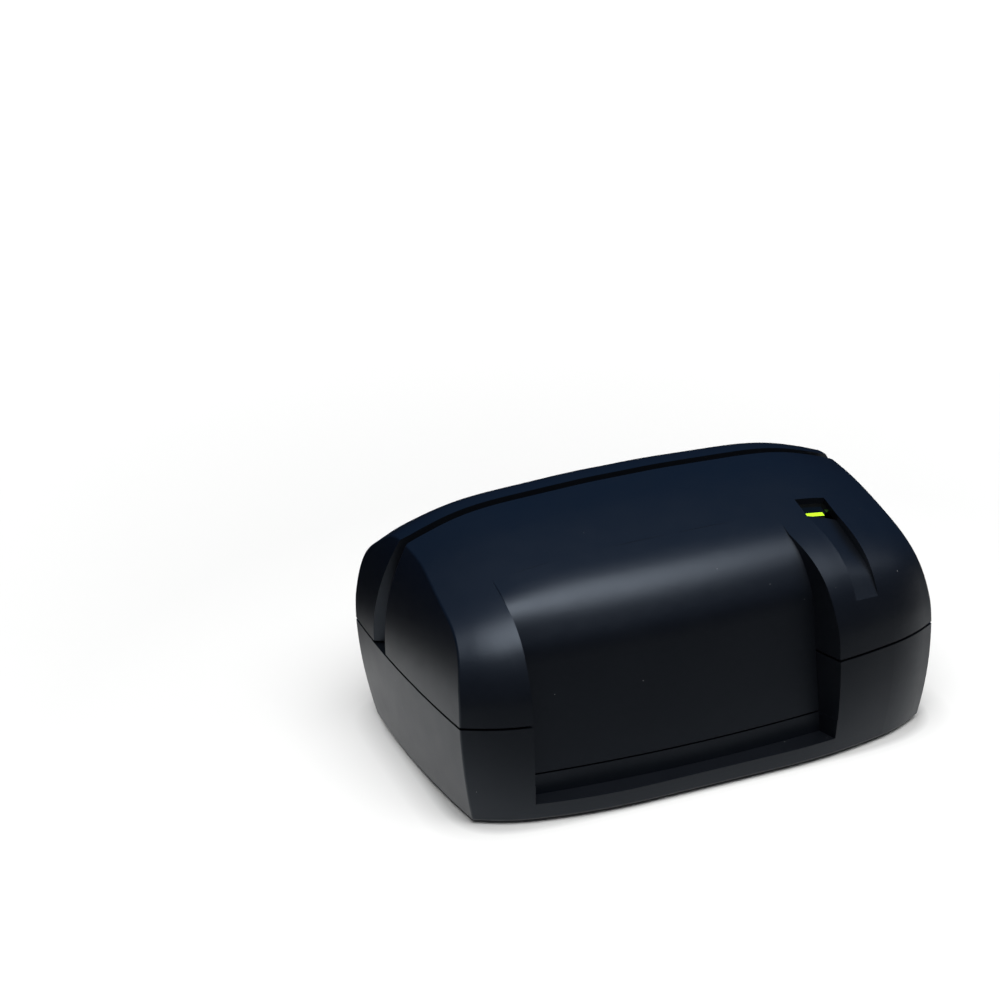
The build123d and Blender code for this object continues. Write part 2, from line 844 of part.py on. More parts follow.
with BuildPart() as chassis:
    with BuildSketch(Plane.XY.offset(chassis_z)):
        with Locations((0, slot_y - 6.25)):
            RectangleRounded(2 * (half_length - 12.4), 47.5, 1)
        with Locations((0, slot_y - 6.6)):
            RectangleRounded(2 * (half_length - 6.2), 34.8, 1)
    extrude(amount=chassis_thickness)
    with BuildSketch(Plane.XY.offset(deck_z)):
        with Locations(*post_spots):
            Circle(spring_post)
    extrude(amount=axial_gap + 2 * spring_wire)
    with BuildSketch(Plane.XY.offset(chassis_z)):
        with Locations((drive_x, drive_y)):
            Circle(bush_radius)
        with Locations((idler_x, idler_y)):
            Circle(shaft_radius)
        with Locations((motor_x, motor_y)):
            Circle(motor_boss)
        with Locations(pinch_pivot, pressure_pivot):
            Circle(pin_radius)
        with Locations(*motor_screw_spots):
            Circle(motor_screw_radius)
        with Locations(*chassis_screws):
            Circle(screw_radius + screw_gap)
    extrude(amount=chassis_thickness, mode=Mode.SUBTRACT)
chassis.part.label = "chassis"
export_step(chassis.part, "parts/chassis.step")


# Roller bridge

bridge_thickness = 1.2
bridge_z = roller_z + roller_length + 1.6
bridge_width = 6.0
bridge_half = drive_radius + 2.4
bridge_foot = 4.0

with BuildPart() as roller_bridge:
    with BuildSketch(Plane.XZ.offset(-drive_y + bridge_width / 2 + 0.4)):
        with BuildLine():
            side = bridge_half
            top = bridge_z + bridge_thickness
            Polyline(
                (drive_x - side - bridge_foot, deck_z),
                (drive_x - side, deck_z),
                (drive_x - side, bridge_z),
                (drive_x + side, bridge_z),
                (drive_x + side, deck_z),
                (drive_x + side + 0.4, deck_z),
            )
            offset(amount=bridge_thickness, side=Side.LEFT, kind=Kind.INTERSECTION)
        make_face()
    extrude(amount=-bridge_width)
    with BuildSketch(Plane.XY.offset(bridge_z)):
        with Locations((drive_x, drive_y)):
            Circle(bush_radius)
    extrude(amount=bridge_thickness, mode=Mode.SUBTRACT)
roller_bridge.part.label = "roller_bridge"
export_step(roller_bridge.part, "parts/roller_bridge.step")


# Gears


def gear(teeth, bottom, width, centre, first_tooth, bore):
    """Spur gear with involute flanks; first_tooth is the angle of one tooth."""
    pitch = module * teeth / 2
    base = pitch * cos(radians(pressure_angle))
    root = pitch - 1.25 * module
    tip = pitch + module
    low = max(base, root + 0.01)
    half_tooth = pi / (2 * teeth) - backlash / (2 * pitch)
    involute = tan(radians(pressure_angle)) - radians(pressure_angle)

    def flank(radius):
        angle = acos(base / radius)
        half = half_tooth + involute - tan(angle) + angle
        return (radius * cos(half), radius * sin(half))

    lower = flank(low)
    middle = flank((low + tip) / 2)
    upper = flank(tip)
    with BuildSketch() as tooth:
        with BuildLine():
            Line((0.9 * root, lower[1]), lower)
            ThreePointArc(lower, middle, upper)
            Line(upper, (upper[0], 0))
            mirror(about=Plane.XZ)
            Line((0.9 * root, lower[1]), (0.9 * root, -lower[1]))
        make_face()
    with BuildPart() as wheel:
        with BuildSketch(Plane.XY.offset(bottom)):
            with Locations(centre):
                Circle(root)
                with PolarLocations(0, teeth, first_tooth):
                    add(tooth.sketch)
                Circle(bore, mode=Mode.SUBTRACT)
        extrude(amount=width)
    return wheel.part


large_z = hull_z + large_bottom
small_z = large_z + large_width
drive_gear_z = small_z + gear_step
drive_gear_width = small_width - gear_step - 0.2
pinion_z = large_z - 0.2
motor_shaft_radius = 0.75

with BuildPart() as drive_gear:
    add(gear(drive_teeth, drive_gear_z, drive_gear_width, (drive_x, drive_y), idler_angle, shaft_radius))
    with BuildSketch(Plane.XY.offset(drive_gear_z)):
        with Locations((drive_x, drive_y)):
            with PolarLocations(6.2, 5):
                Circle(1.9)
    extrude(amount=drive_gear_width, mode=Mode.SUBTRACT)
drive_gear.part.label = "drive_gear"
export_step(drive_gear.part, "parts/drive_gear.step")

with BuildPart() as idler_gear:
    bore = shaft_radius + running_gap
    add(gear(large_teeth, large_z, large_width, (idler_x, idler_y), motor_angle, bore))
    small_tooth = idler_angle - 180 + 180 / small_teeth
    add(gear(small_teeth, small_z, small_width, (idler_x, idler_y), small_tooth, bore))
idler_gear.part.label = "idler_gear"
export_step(idler_gear.part, "parts/idler_gear.step")

with BuildPart() as motor_pinion:
    pinion_tooth = motor_angle - 180 + 180 / pinion_teeth
    add(gear(pinion_teeth, pinion_z, large_width + 0.4, (motor_x, motor_y), pinion_tooth, motor_shaft_radius))
motor_pinion.part.label = "motor_pinion"
export_step(motor_pinion.part, "parts/motor_pinion.step")


def rod(centre, radius, bottom, top):
    """Upright round bar with its lower edge broken."""
    with BuildPart() as bar:
        with BuildSketch(Plane.XY.offset(bottom)):
            with Locations(centre):
                Circle(radius)
        extrude(amount=top - bottom)
        chamfer(bar.edges().group_by(Axis.Z)[0], radius / 8)
    return bar.part


def ring(centre, outer, inner, bottom, top):
    """Upright tube."""
    with BuildPart() as tube:
        with BuildSketch(Plane.XY.offset(bottom)):
            with Locations(centre):
                Circle(outer)
                Circle(inner, mode=Mode.SUBTRACT)
        extrude(amount=top - bottom)
    return tube.part


# Idler pin and its clip

clip_thickness = 0.6
pin_groove = 0.3

with BuildPart() as idler_pin:
    add(rod((idler_x, idler_y), shaft_radius, large_z - 2 * clip_thickness, deck_z))
    add(ring((idler_x, idler_y), shaft_radius + bush_rim, shaft_radius, deck_z, deck_z + bush_flange))
    with BuildSketch(Plane.XY.offset(deck_z)):
        with Locations((idler_x, idler_y)):
            Circle(shaft_radius)
    extrude(amount=bush_flange)
    clip_z = large_z - running_gap - clip_thickness
    add(
        ring((idler_x, idler_y), shaft_radius + 1, shaft_radius - pin_groove, clip_z, clip_z + clip_thickness),
        mode=Mode.SUBTRACT,
    )
idler_pin.part.label = "idler_pin"
export_step(idler_pin.part, "parts/idler_pin.step")

with BuildPart() as idler_clip:
    with BuildSketch(Plane.XY.offset(clip_z)):
        with Locations((idler_x, idler_y)):
            Circle(shaft_radius + 1.3)
            Circle(shaft_radius - pin_groove, mode=Mode.SUBTRACT)
        with Locations((idler_x + shaft_radius + 0.5, idler_y)):
            Rectangle(2 * shaft_radius + 1, 1.8 * (shaft_radius - pin_groove), mode=Mode.SUBTRACT)
    extrude(amount=clip_thickness)
idler_clip.part.label = "idler_clip"
export_step(idler_clip.part, "parts/idler_clip.step")


# Drive shaft, roller and bushes

core_radius = 4.0
shaft_bottom = drive_gear_z - 0.8
shaft_top = bridge_z + bridge_thickness + 1.2

with BuildPart() as drive_shaft:
    add(rod((drive_x, drive_y), shaft_radius, shaft_bottom, shaft_top))
    chamfer(drive_shaft.edges().group_by(Axis.Z)[-1], shaft_radius / 8)
drive_shaft.part.label = "drive_shaft"
export_step(drive_shaft.part, "parts/drive_shaft.step")

with BuildPart() as roller_core:
    add(ring((drive_x, drive_y), core_radius, shaft_radius, roller_z, roller_z + roller_length))
roller_core.part.label = "roller_core"
export_step(roller_core.part, "parts/roller_core.step")

with BuildPart() as drive_tyre:
    add(ring((drive_x, drive_y), drive_radius, core_radius, roller_z, roller_z + roller_length))
    chamfer(drive_tyre.edges().filter_by(GeomType.CIRCLE).sort_by(SortBy.RADIUS)[-2:], 0.4)
drive_tyre.part.label = "drive_tyre"
export_step(drive_tyre.part, "parts/drive_tyre.step")

for name, low, flange_low in (
    ("lower_bush", chassis_z, deck_z),
    ("upper_bush", bridge_z, bridge_z - bush_flange),
):
    thickness = chassis_thickness if name == "lower_bush" else bridge_thickness
    with BuildPart() as bush:
        add(ring((drive_x, drive_y), bush_radius, shaft_radius + running_gap, low, low + thickness))
        flange_radius = bush_radius + bush_rim
        add(
            ring((drive_x, drive_y), flange_radius, shaft_radius + running_gap, flange_low, flange_low + bush_flange)
        )
    bush.part.label = name
    export_step(bush.part, "parts/" + name + ".step")


# Motor

cap_height = 1.6
can_z = deck_z
motor_flat = 6.4

with BuildPart() as motor_can:
    with BuildSketch(Plane.XY.offset(can_z)):
        with Locations((motor_x, motor_y)):
            Circle(motor_radius)
            Rectangle(2 * motor_radius, 2 * motor_flat, mode=Mode.INTERSECT)
    extrude(amount=motor_height - cap_height)
    with BuildSketch(Plane.XY.offset(chassis_z + 0.2)):
        with Locations((motor_x, motor_y)):
            Circle(motor_boss)
    extrude(amount=can_z - chassis_z - 0.2)
    with BuildSketch(Plane.XY.offset(chassis_z)):
        with Locations((motor_x, motor_y)):
            Circle(motor_shaft_radius + running_gap)
    extrude(amount=motor_height, mode=Mode.SUBTRACT)
    with BuildSketch(Plane.XY.offset(can_z)):
        with Locations(*motor_screw_spots):
            Circle(motor_screw_radius)
    extrude(amount=2.5, mode=Mode.SUBTRACT)
motor_can.part.label = "motor_can"
export_step(motor_can.part, "parts/motor_can.step")

with BuildPart() as motor_cap:
    cap_z = can_z + motor_height - cap_height
    with BuildSketch(Plane.XY.offset(cap_z)):
        with Locations((motor_x, motor_y)):
            Circle(motor_radius - 0.3)
            Rectangle(2 * motor_radius, 2 * motor_flat - 0.6, mode=Mode.INTERSECT)
    extrude(amount=cap_height)
    with BuildSketch(Plane.XY.offset(cap_z + cap_height)):
        with Locations((motor_x - 4, motor_y), (motor_x + 4, motor_y)):
            Rectangle(0.5, 2)
    extrude(amount=1.4)
motor_cap.part.label = "motor_cap"
export_step(motor_cap.part, "parts/motor_cap.step")

with BuildPart() as motor_shaft:
    shaft_end = can_z + motor_height - cap_height - axial_gap
    add(rod((motor_x, motor_y), motor_shaft_radius, pinion_z - 0.3, shaft_end))
motor_shaft.part.label = "motor_shaft"
export_step(motor_shaft.part, "parts/motor_shaft.step")


# Sprung arms with their rollers, axles, pivots and springs

plate_low = roller_z - axial_gap - arm_thickness
plate_high = roller_z + roller_length + axial_gap
peg_radius = 0.5
peg_reach = 3.0


def arm(pivot, roller):
    """Roller arm: a tube on the pivot with a plate above and below the roller."""
    with BuildPart() as body:
        add(ring(pivot, arm_hub, pin_radius + running_gap, deck_z + axial_gap, plate_high + arm_thickness))
        for bottom in (plate_low, plate_high):
            with BuildSketch(Plane.XY.offset(bottom)):
                with Locations(pivot):
                    Circle(arm_hub)
                with Locations(roller):
                    Circle(arm_tip)
                make_hull()
                with Locations(pivot):
                    Circle(pin_radius + running_gap, mode=Mode.SUBTRACT)
                with Locations(roller):
                    Circle(axle_radius, mode=Mode.SUBTRACT)
            extrude(amount=arm_thickness)
        peg = arm_spot(pivot, roller, peg_reach, coil_radius - spring_wire / 2 - peg_radius)
        with BuildSketch(Plane.XY.offset(deck_z + axial_gap + spring_pitch * spring_turns)):
            with Locations(peg):
                Circle(peg_radius)
        extrude(amount=plate_low - deck_z - spring_pitch * spring_turns)
    return body.part


def arm_roller(roller):
    """Free-running rubber roller."""
    with BuildPart() as body:
        bore = axle_radius + running_gap
        add(ring(roller, arm_roller_radius, bore, roller_z, roller_z + roller_length))
        chamfer(body.edges().filter_by(GeomType.CIRCLE).sort_by(SortBy.RADIUS)[-2:], 0.4)
    return body.part


def pivot_pin(pivot):
    """Pivot pin riveted into the chassis plate, with a head above the arm."""
    top = plate_high + arm_thickness + axial_gap
    with BuildPart() as pin:
        add(rod(pivot, pin_radius, chassis_z, top))
        add(rod(pivot, pin_radius + 0.8, top, top + 0.6))
    return pin.part


def torsion_spring(pivot, roller):
    """Coil round the arm's hub, one leg along the arm and one on the chassis."""
    along = Vector(roller[0] - pivot[0], roller[1] - pivot[1], 0).normalized()
    outward = Vector(along.Y, -along.X, 0)
    coil_height = spring_pitch * spring_turns
    coil_z = deck_z + axial_gap + spring_wire / 2
    centre = Vector(*pivot, coil_z)
    touch = centre + outward * coil_radius
    with BuildPart() as spring:
        with BuildLine(Plane(origin=centre, x_dir=outward, z_dir=(0, 0, 1))):
            Helix(spring_pitch, coil_height, coil_radius)
        with BuildSketch(Plane(origin=touch, x_dir=outward, z_dir=along)):
            Rectangle(spring_wire, spring_wire)
        sweep(is_frenet=True)
        for lift, way in ((coil_height, 1), (0, -1)):
            start = touch + Vector(0, 0, lift) - along * way * spring_wire / 2
            with BuildSketch(Plane(origin=start, x_dir=outward, z_dir=along)):
                Rectangle(spring_wire, spring_wire)
            extrude(amount=way * (spring_leg + spring_wire / 2))
    return spring.part


for name, pivot, roller in (
    ("pinch", pinch_pivot, pinch_place),
    ("pressure", pressure_pivot, pressure_place),
):
    pieces = {
        name + "_arm": arm(pivot, roller),
        name + "_roller": arm_roller(roller),
        name + "_axle": rod(roller, axle_radius, plate_low - axial_gap, plate_high + arm_thickness + axial_gap),
        name + "_pivot": pivot_pin(pivot),
        name + "_spring": torsion_spring(pivot, roller),
    }
    for label, piece in pieces.items():
        piece.label = label
        export_step(piece, "parts/" + label + ".step")


# Magnetic head and its carrier

carrier_lip = 1.2

with BuildPart() as magnetic_head:
    with BuildSketch(Plane.XY.offset(roller_z)):
        with BuildLine():
            left = pressure_x - head_width / 2
            right = pressure_x + head_width / 2
            shoulder = slot_y - 1.2
            back = slot_y - head_back + 3.0
            ThreePointArc((left + 2, shoulder), (pressure_x, slot_y + head_reach), (right - 2, shoulder))
            Polyline(
                (right - 2, shoulder),
                (right, shoulder),
                (right, back),
                (left, back),
                (left, shoulder),
                (left + 2, shoulder),
            )
        make_face()
    extrude(amount=head_height)
magnetic_head.part.label = "magnetic_head"
export_step(magnetic_head.part, "parts/magnetic_head.step")

with BuildPart() as head_carrier:
    middle_y = (slot_y - head_back + slot_y - wall - 1) / 2
    depth = head_back - wall - 1
    with BuildSketch(Plane.XY.offset(deck_z)):
        with Locations((pressure_x, middle_y)):
            Rectangle(head_width + 2 * carrier_lip, depth)
    extrude(amount=roller_z - deck_z + head_height * 0.7)
    with BuildSketch(Plane.XY.offset(roller_z)):
        with Locations((pressure_x, (back + slot_y) / 2)):
            Rectangle(head_width, slot_y - back)
    extrude(amount=head_height, mode=Mode.SUBTRACT)
head_carrier.part.label = "head_carrier"
export_step(head_carrier.part, "parts/head_carrier.step")


# Optical reader and its glass

reader_width = reader_left - reader_right
lip_width = 1.4
reader_x = -(reader_left + reader_right) / 2
reader_top = hull_z + window_top - 0.4

with BuildPart() as optical_reader:
    with BuildSketch(Plane.XY.offset(deck_z)):
        with Locations((reader_x, slot_y - (reader_back + wall + 0.4) / 2)):
            Rectangle(reader_width, reader_back - wall - 0.4)
    extrude(amount=reader_top - deck_z)
    with BuildSketch(Plane.XY.offset(roller_z)):
        with Locations((reader_x, slot_y - (wall + 1.4) / 2)):
            Rectangle(reader_width - 2, wall)
    extrude(amount=reader_top - roller_z)
    with BuildSketch(Plane.XY.offset(roller_z + 1)):
        with Locations((reader_x, slot_y - 5)):
            Rectangle(reader_width - 2 - 2 * lip_width, 10)
    extrude(amount=reader_top - roller_z - 2, mode=Mode.SUBTRACT)
    with BuildSketch(Plane.XZ.offset(-slot_y + wall)):
        with Locations((reader_x, (roller_z + reader_top) / 2)):
            Rectangle(reader_width - 3, reader_top - roller_z - 1)
    extrude(amount=-wall, mode=Mode.SUBTRACT)
optical_reader.part.label = "optical_reader"
export_step(optical_reader.part, "parts/optical_reader.step")

with BuildPart() as reader_glass:
    with BuildSketch(Plane.XZ.offset(-slot_y + wall)):
        with Locations((reader_x, (roller_z + reader_top) / 2)):
            Rectangle(reader_width - 3, reader_top - roller_z - 1)
    extrude(amount=-glass_thickness)
reader_glass.part.label = "reader_glass"
export_step(reader_glass.part, "parts/reader_glass.step")

for name, x in (("entry_sensor", -sensor_x), ("exit_sensor", sensor_x)):
    with BuildPart() as sensor:
        with BuildSketch(Plane.XY.offset(deck_z)):
            with Locations((x, slot_y - wall - 2.2)):
                Rectangle(4, 4)
        extrude(amount=hull_z + sensor_z + 3 - deck_z)
        with BuildSketch(Plane.XZ.offset(-slot_y + wall + 0.2)):
            with Locations((x, hull_z + sensor_z)):
                Circle(sensor_hole - 0.2)
        extrude(amount=-1.6)
    sensor.part.label = name
    export_step(sensor.part, "parts/" + name + ".step")


# Main board and what is on it

board_front = 28.0
board_rear = 16.2
board_half = 36.0
top_z = board_z + board_thickness

with BuildPart() as main_board:
    with BuildSketch(Plane.XY.offset(board_z)):
        with Locations((0, slot_y - (board_front - board_rear) / 2)):
            RectangleRounded(2 * board_half, board_front + board_rear, 1.5)
        with Locations(*board_posts):
            Circle(1.1, mode=Mode.SUBTRACT)
    extrude(amount=board_thickness)
main_board.part.label = "main_board"
export_step(main_board.part, "parts/main_board.step")

chips = {
    "controller_chip": ((-12, -8), (12, 12), 1.4),
    "driver_chip": ((8, -20), (6, 5), 1.5),
    "memory_chip": ((-28, -6), (5, 6), 1.3),
    "reader_connector": ((-20, -22), (14, 4), 3.0),
}
for name, (place, size, height) in chips.items():
    with BuildPart() as chip:
        with BuildSketch(Plane.XY.offset(top_z)):
            with Locations((place[0], slot_y + place[1])):
                Rectangle(*size)
        extrude(amount=height)
    chip.part.label = name
    export_step(chip.part, "parts/" + name + ".step")

with BuildPart() as board_capacitor:
    add(rod((4, slot_y + 8), 2.5, top_z, top_z + 5.4))
board_capacitor.part.label = "board_capacitor"
export_step(board_capacitor.part, "parts/board_capacitor.step")

with BuildPart() as data_socket:
    socket_front = rear_y - (base_height - board_height) ** 2 / (2 * rear_hull_radius) - 0.4
    with BuildSketch(Plane.XZ.offset(-socket_front)):
        with Locations((socket_x, top_z + socket_height / 2)):
            Rectangle(socket_width, socket_height)
    extrude(amount=socket_length)
    with BuildSketch(Plane.XZ.offset(-socket_front)):
        with Locations((socket_x, top_z + socket_height / 2)):
            Rectangle(socket_width - 2 * socket_shell, socket_height - 2 * socket_shell)
    extrude(amount=socket_length - 1.5, mode=Mode.SUBTRACT)
    with BuildSketch(Plane.XZ.offset(-socket_front + 1.5)):
        with Locations((socket_x, top_z + socket_height / 2)):
            Rectangle(socket_width - 3, 1.0)
    extrude(amount=socket_length - 2)
data_socket.part.label = "data_socket"
export_step(data_socket.part, "parts/data_socket.step")


# Screws and feet


def screw(spot, seat, length, height):
    """Socket-head screw; a negative length points it up from its seat."""
    way = 1 if length > 0 else -1
    with BuildPart() as body:
        with BuildSketch(Plane.XY.offset(seat)):
            with Locations(spot):
                Circle(screw_head)
        extrude(amount=way * height)
        with BuildSketch(Plane.XY.offset(seat)):
            with Locations(spot):
                Circle(screw_radius)
        extrude(amount=-length)
        with BuildSketch(Plane.XY.offset(seat + way * height)):
            with Locations(spot):
                RegularPolygon(socket_size, 6)
        extrude(amount=-way * socket_depth, mode=Mode.SUBTRACT)
    return body.part


for number, spot in enumerate(cover_screws, 1):
    seat = hull_z + screw_seat
    piece = screw(spot, seat, seat - cover_foot - screw_reach, screw_head_height)
    piece.label = "cover_screw_" + str(number)
    export_step(piece, "parts/" + piece.label + ".step")

for number, spot in enumerate(chassis_screws, 1):
    piece = screw(spot, deck_z, chassis_thickness + screw_reach, screw_head_height)
    piece.label = "chassis_screw_" + str(number)
    export_step(piece, "parts/" + piece.label + ".step")

for number, spot in enumerate(feet, 1):
    with BuildPart() as foot:
        with BuildSketch(Plane.XY):
            with Locations(spot):
                Circle(foot_radius - side_gap)
        extrude(amount=foot_height + foot_seat)
        chamfer(foot.edges().group_by(Axis.Z)[0], 0.3)
    foot.part.label = "rubber_foot_" + str(number)
    export_step(foot.part, "parts/" + foot.part.label + ".step")
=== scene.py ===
from math import cos, pi, radians, sin

import bpy
from mathutils import Matrix, Vector


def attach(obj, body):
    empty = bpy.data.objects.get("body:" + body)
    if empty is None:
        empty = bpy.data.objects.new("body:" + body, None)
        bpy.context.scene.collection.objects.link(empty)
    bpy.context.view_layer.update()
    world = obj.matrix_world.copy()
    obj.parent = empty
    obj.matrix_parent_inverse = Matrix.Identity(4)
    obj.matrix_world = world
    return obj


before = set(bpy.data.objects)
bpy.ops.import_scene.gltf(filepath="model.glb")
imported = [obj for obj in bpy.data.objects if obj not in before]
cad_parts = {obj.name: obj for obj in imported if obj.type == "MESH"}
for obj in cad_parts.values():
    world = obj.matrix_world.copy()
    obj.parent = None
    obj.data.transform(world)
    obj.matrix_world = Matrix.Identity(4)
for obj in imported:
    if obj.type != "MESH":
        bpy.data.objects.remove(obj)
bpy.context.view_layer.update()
bpy.ops.object.select_all(action="DESELECT")
bpy.context.scene.view_settings.view_transform = "Standard"


# The camera stands in front of the left end of the reader and looks down on it, from where the photograph was
# taken, with the lens that the slot, the ends and the feet of the housing agree on.

camera_turn, camera_height, camera_roll = radians(-19.34), radians(23.27), radians(-3.34)
camera_aim = Vector((-0.00479, 0.067375, 0.0208))
camera_distance = 0.53128
camera_lens = 89.45

camera_back = Vector((
    sin(camera_turn) * cos(camera_height),
    -cos(camera_turn) * cos(camera_height),
    sin(camera_height),
))
camera_right = (-camera_back).cross(Vector((0, 0, 1))).normalized()
camera_up = camera_back.cross(camera_right)
camera_axes = Matrix((camera_right, camera_up, camera_back)).transposed()
camera_axes = camera_axes @ Matrix.Rotation(camera_roll, 3, "Z")
bpy.ops.object.camera_add()
camera = bpy.context.object
camera.data.sensor_width = 36
camera.data.lens = camera_lens
camera.data.clip_start = 0.02
camera.matrix_world = Matrix.Translation(camera_aim + camera_back * camera_distance) @ camera_axes.to_4x4()
bpy.context.scene.camera = camera


# The table is a white sheet, flat and plain. It keeps the soft shadow that the lamps cast round the housing, deepened
# by a painted shadow where its glow to the camera is taken away near the housing, and it glows to the camera further
# out. Shiny parts see a painted shade on it in a band in front of the reader and another behind it, and a painted
# reflection glow on the strip of sheet level with the reader, to its left and right.

class Value:
    """A value of a finish that varies over the surface. Sums written with it become Math nodes."""

    def __init__(self, finish, socket):
        self.finish, self.socket = finish, socket

    def maths(self, operation, *numbers):
        return self.finish.node("ShaderNodeMath", {"operation": operation}, dict(enumerate(numbers)))

    def __add__(self, other):
        return self.maths("ADD", self, other)

    def __sub__(self, other):
        return self.maths("SUBTRACT", self, other)

    def __rsub__(self, other):
        return self.maths("SUBTRACT", other, self)

    def __mul__(self, other):
        return self.maths("MULTIPLY", self, other)

    def __truediv__(self, other):
        return self.maths("DIVIDE", self, other)

    def __pow__(self, other):
        return self.maths("POWER", self, other)

    def __gt__(self, other):
        return self.maths("GREATER_THAN", self, other)

    def __lt__(self, other):
        return self.maths("LESS_THAN", self, other)

    __radd__, __rmul__ = __add__, __mul__


class Tree:
    """The nodes of a finish or of the room, added one by one."""

    def __init__(self, tree, place):
        self.tree, self.nodes, self.links = tree, tree.nodes, tree.links
        self.place = self.node("ShaderNodeTexCoord", output=place)

    def node(self, kind, settings=None, sockets=None, output=0):
        made = self.nodes.new(kind)
        for name, value in (settings or {}).items():
            if name == "stops":
                while len(made.color_ramp.elements) < len(value):
                    made.color_ramp.elements.new(0.5)
                for stop, (position, grey) in zip(made.color_ramp.elements, value):
                    stop.position, stop.color = position, (grey, grey, grey, 1)
            else:
                setattr(made, name, value)
        for socket, value in (sockets or {}).items():
            self.set(made.inputs[socket], value)
        return Value(self, made.outputs[output])

    def set(self, socket, value):
        if isinstance(value, Value):
            self.links.new(value.socket, socket)
        else:
            socket.default_value = value

    def axis(self, name, place=None):
        return self.node("ShaderNodeSeparateXYZ", {}, {0: place or self.place}, output="xyz".index(name))

    def noise(self, size, detail=2, stretch=(1, 1, 1)):
        """Cloudy noise whose lumps are about size metres across, drawn out along the axes with a small stretch."""
        place = self.node("ShaderNodeMapping", {}, {"Vector": self.place, "Scale": stretch})
        return self.node("ShaderNodeTexNoise", {}, {"Vector": place, "Scale": 1 / size, "Detail": detail})

    def cells(self, size, output=0):
        """Distance to, or colour of, the nearest of points scattered about size metres apart."""
        return self.node("ShaderNodeTexVoronoi", {}, {"Vector": self.place, "Scale": 1 / size}, output)

    def ray(self, kind):
        """1 for rays of a kind, such as Camera or Glossy, and 0 for all others."""
        return self.node("ShaderNodeLightPath", output="Is %s Ray" % kind)

    def ramp(self, value, *stops):
        return self.node("ShaderNodeValToRGB", {"stops": stops}, {"Fac": value})

    def blend(self, share, first, second):
        return self.node("ShaderNodeMix", {"data_type": "RGBA"}, {0: share, 6: first, 7: second}, output=2)


class Finish(Tree):
    """A finish: a material whose shader is fed by nodes that read the piece's own coordinates, in metres."""

    def __init__(self, name, **plain):
        self.material = bpy.data.materials.new(name)
        self.material.use_nodes = True
        super().__init__(self.material.node_tree, "Object")
        self.shader = self.nodes["Principled BSDF"]
        for socket, value in plain.items():
            self.shader.inputs[socket.replace("_", " ")].default_value = value

    def feed(self, **fed):
        for socket, value in fed.items():
            self.set(self.shader.inputs[socket.replace("_", " ")], value)

    def bump(self, height, depth, over=None):
        sockets = {"Height": height, "Distance": depth, "Strength": 1.0}
        if over is not None:
            sockets["Normal"] = over
        return self.node("ShaderNodeBump", {}, sockets)


def colour(red, green, blue):
    """The shader's own colour for one that is written as it looks on a screen, from 0 to 255."""
    shown = (red, green, blue)
    return tuple(v / 255 / 12.92 if v <= 10 else ((v / 255 + 0.055) / 1.055) ** 2.4 for v in shown) + (1,)


table_size = 2.4
# These numbers set the painted shade and the painted reflection glow that shiny parts see on the sheet, and the
# painted shadow round the housing.
painted_shade_start, painted_shade_length = -0.16, 0.26
painted_shade_stops = (0.0, 1.0), (0.19, 0.76), (0.42, 0.76), (0.54, 0.0), (0.77, 0.0), (0.91, 1.0)
painted_shade_colour = (0.001, 0.002, 0.006, 1)
camera_glow, far_glow, painted_reflection_glow = 0.335, 0.8, 0.42
far_stops = (0.12, 0.0), (0.3, 0.3), (0.9, 1.0)
painted_shadow_stops = (0.38, 0.0), (0.5, 0.68), (0.85, 1.0)
glow_colour = (0.99, 0.99, 0.985)
housing_half_length, housing_half_depth = 0.0495, 0.0315

bpy.ops.mesh.primitive_plane_add(size=table_size, location=(0, 0, 0))
table = bpy.context.object
table.name = "table"
paper = Finish("table_paper", Roughness=1.0, Specular_IOR_Level=0.0, Emission_Strength=1.0)
paper_x, paper_y = paper.axis("x"), paper.axis("y")
shine = paper.ray("Glossy")
# Glossy rays see a painted shade: the sheet dark in a band in front of the reader and another behind it.
painted_shade = shine * paper.ramp((paper_y - painted_shade_start) / painted_shade_length, *painted_shade_stops)
paper_white = paper.blend(paper.noise(0.05) * 0.04, colour(181, 182, 183), colour(173, 174, 175))
far = paper.ramp((paper_x * paper_x + paper_y * paper_y) ** 0.5, *far_stops)
# Near the housing the glow to the camera is taken away, a painted shadow round its foot; clear is 0 there and 1
# further out.
painted_shadow_footprint = (paper_x * paper_x / housing_half_length**2) ** 3 + (paper_y * paper_y / housing_half_depth**2) ** 3
clear = paper.ramp(painted_shadow_footprint * 0.5, *painted_shadow_stops)
glow_seen = (paper.ray("Camera") + paper.ray("Transmission")) * clear * (camera_glow + far * far_glow)
# Glossy rays see a painted reflection glow on the strip of sheet level with the reader, where the painted shade is
# off.
glow = glow_seen + (shine * (1 - painted_shade)) * painted_reflection_glow
paper.feed(
    Base_Color=paper.blend(painted_shade, paper_white, painted_shade_colour),
    Emission_Color=paper.node("ShaderNodeVectorMath", {"operation": "SCALE"}, {0: glow_colour, "Scale": glow}),
)
table.data.materials.append(paper.material)


# The light is two soft boxes in front of the reader: a wide one overhead, which draws the bright band along the
# brow of the cover, and a faint one at the right. The camera sees a white room behind the table, shiny parts see
# a dim blue one, deepest low down, and all else is lit by a dim grey one.

box_aim, box_white = (0, 0, 0.02), (1.0, 0.99, 0.97)
room_low, room_high, room_plain = (0.001, 0.004, 0.030, 1), (0.05, 0.20, 0.48, 1), (0.16, 0.16, 0.165, 1)


def soft_box(name, place, width, depth, power):
    bpy.ops.object.light_add(type="AREA", location=place)
    box = bpy.context.object
    box.name = name
    box.data.shape, box.data.size, box.data.size_y = "RECTANGLE", width, depth
    box.data.energy, box.data.color = power, box_white
    box.rotation_euler = (Vector(box_aim) - Vector(place)).to_track_quat("-Z", "Y").to_euler()


soft_box("overhead_box", (-0.02, -0.305, 0.73), 0.75, 0.64, 11.5)
soft_box("right_box", (0.6, -0.3, 0.6), 0.4, 0.4, 0.6)

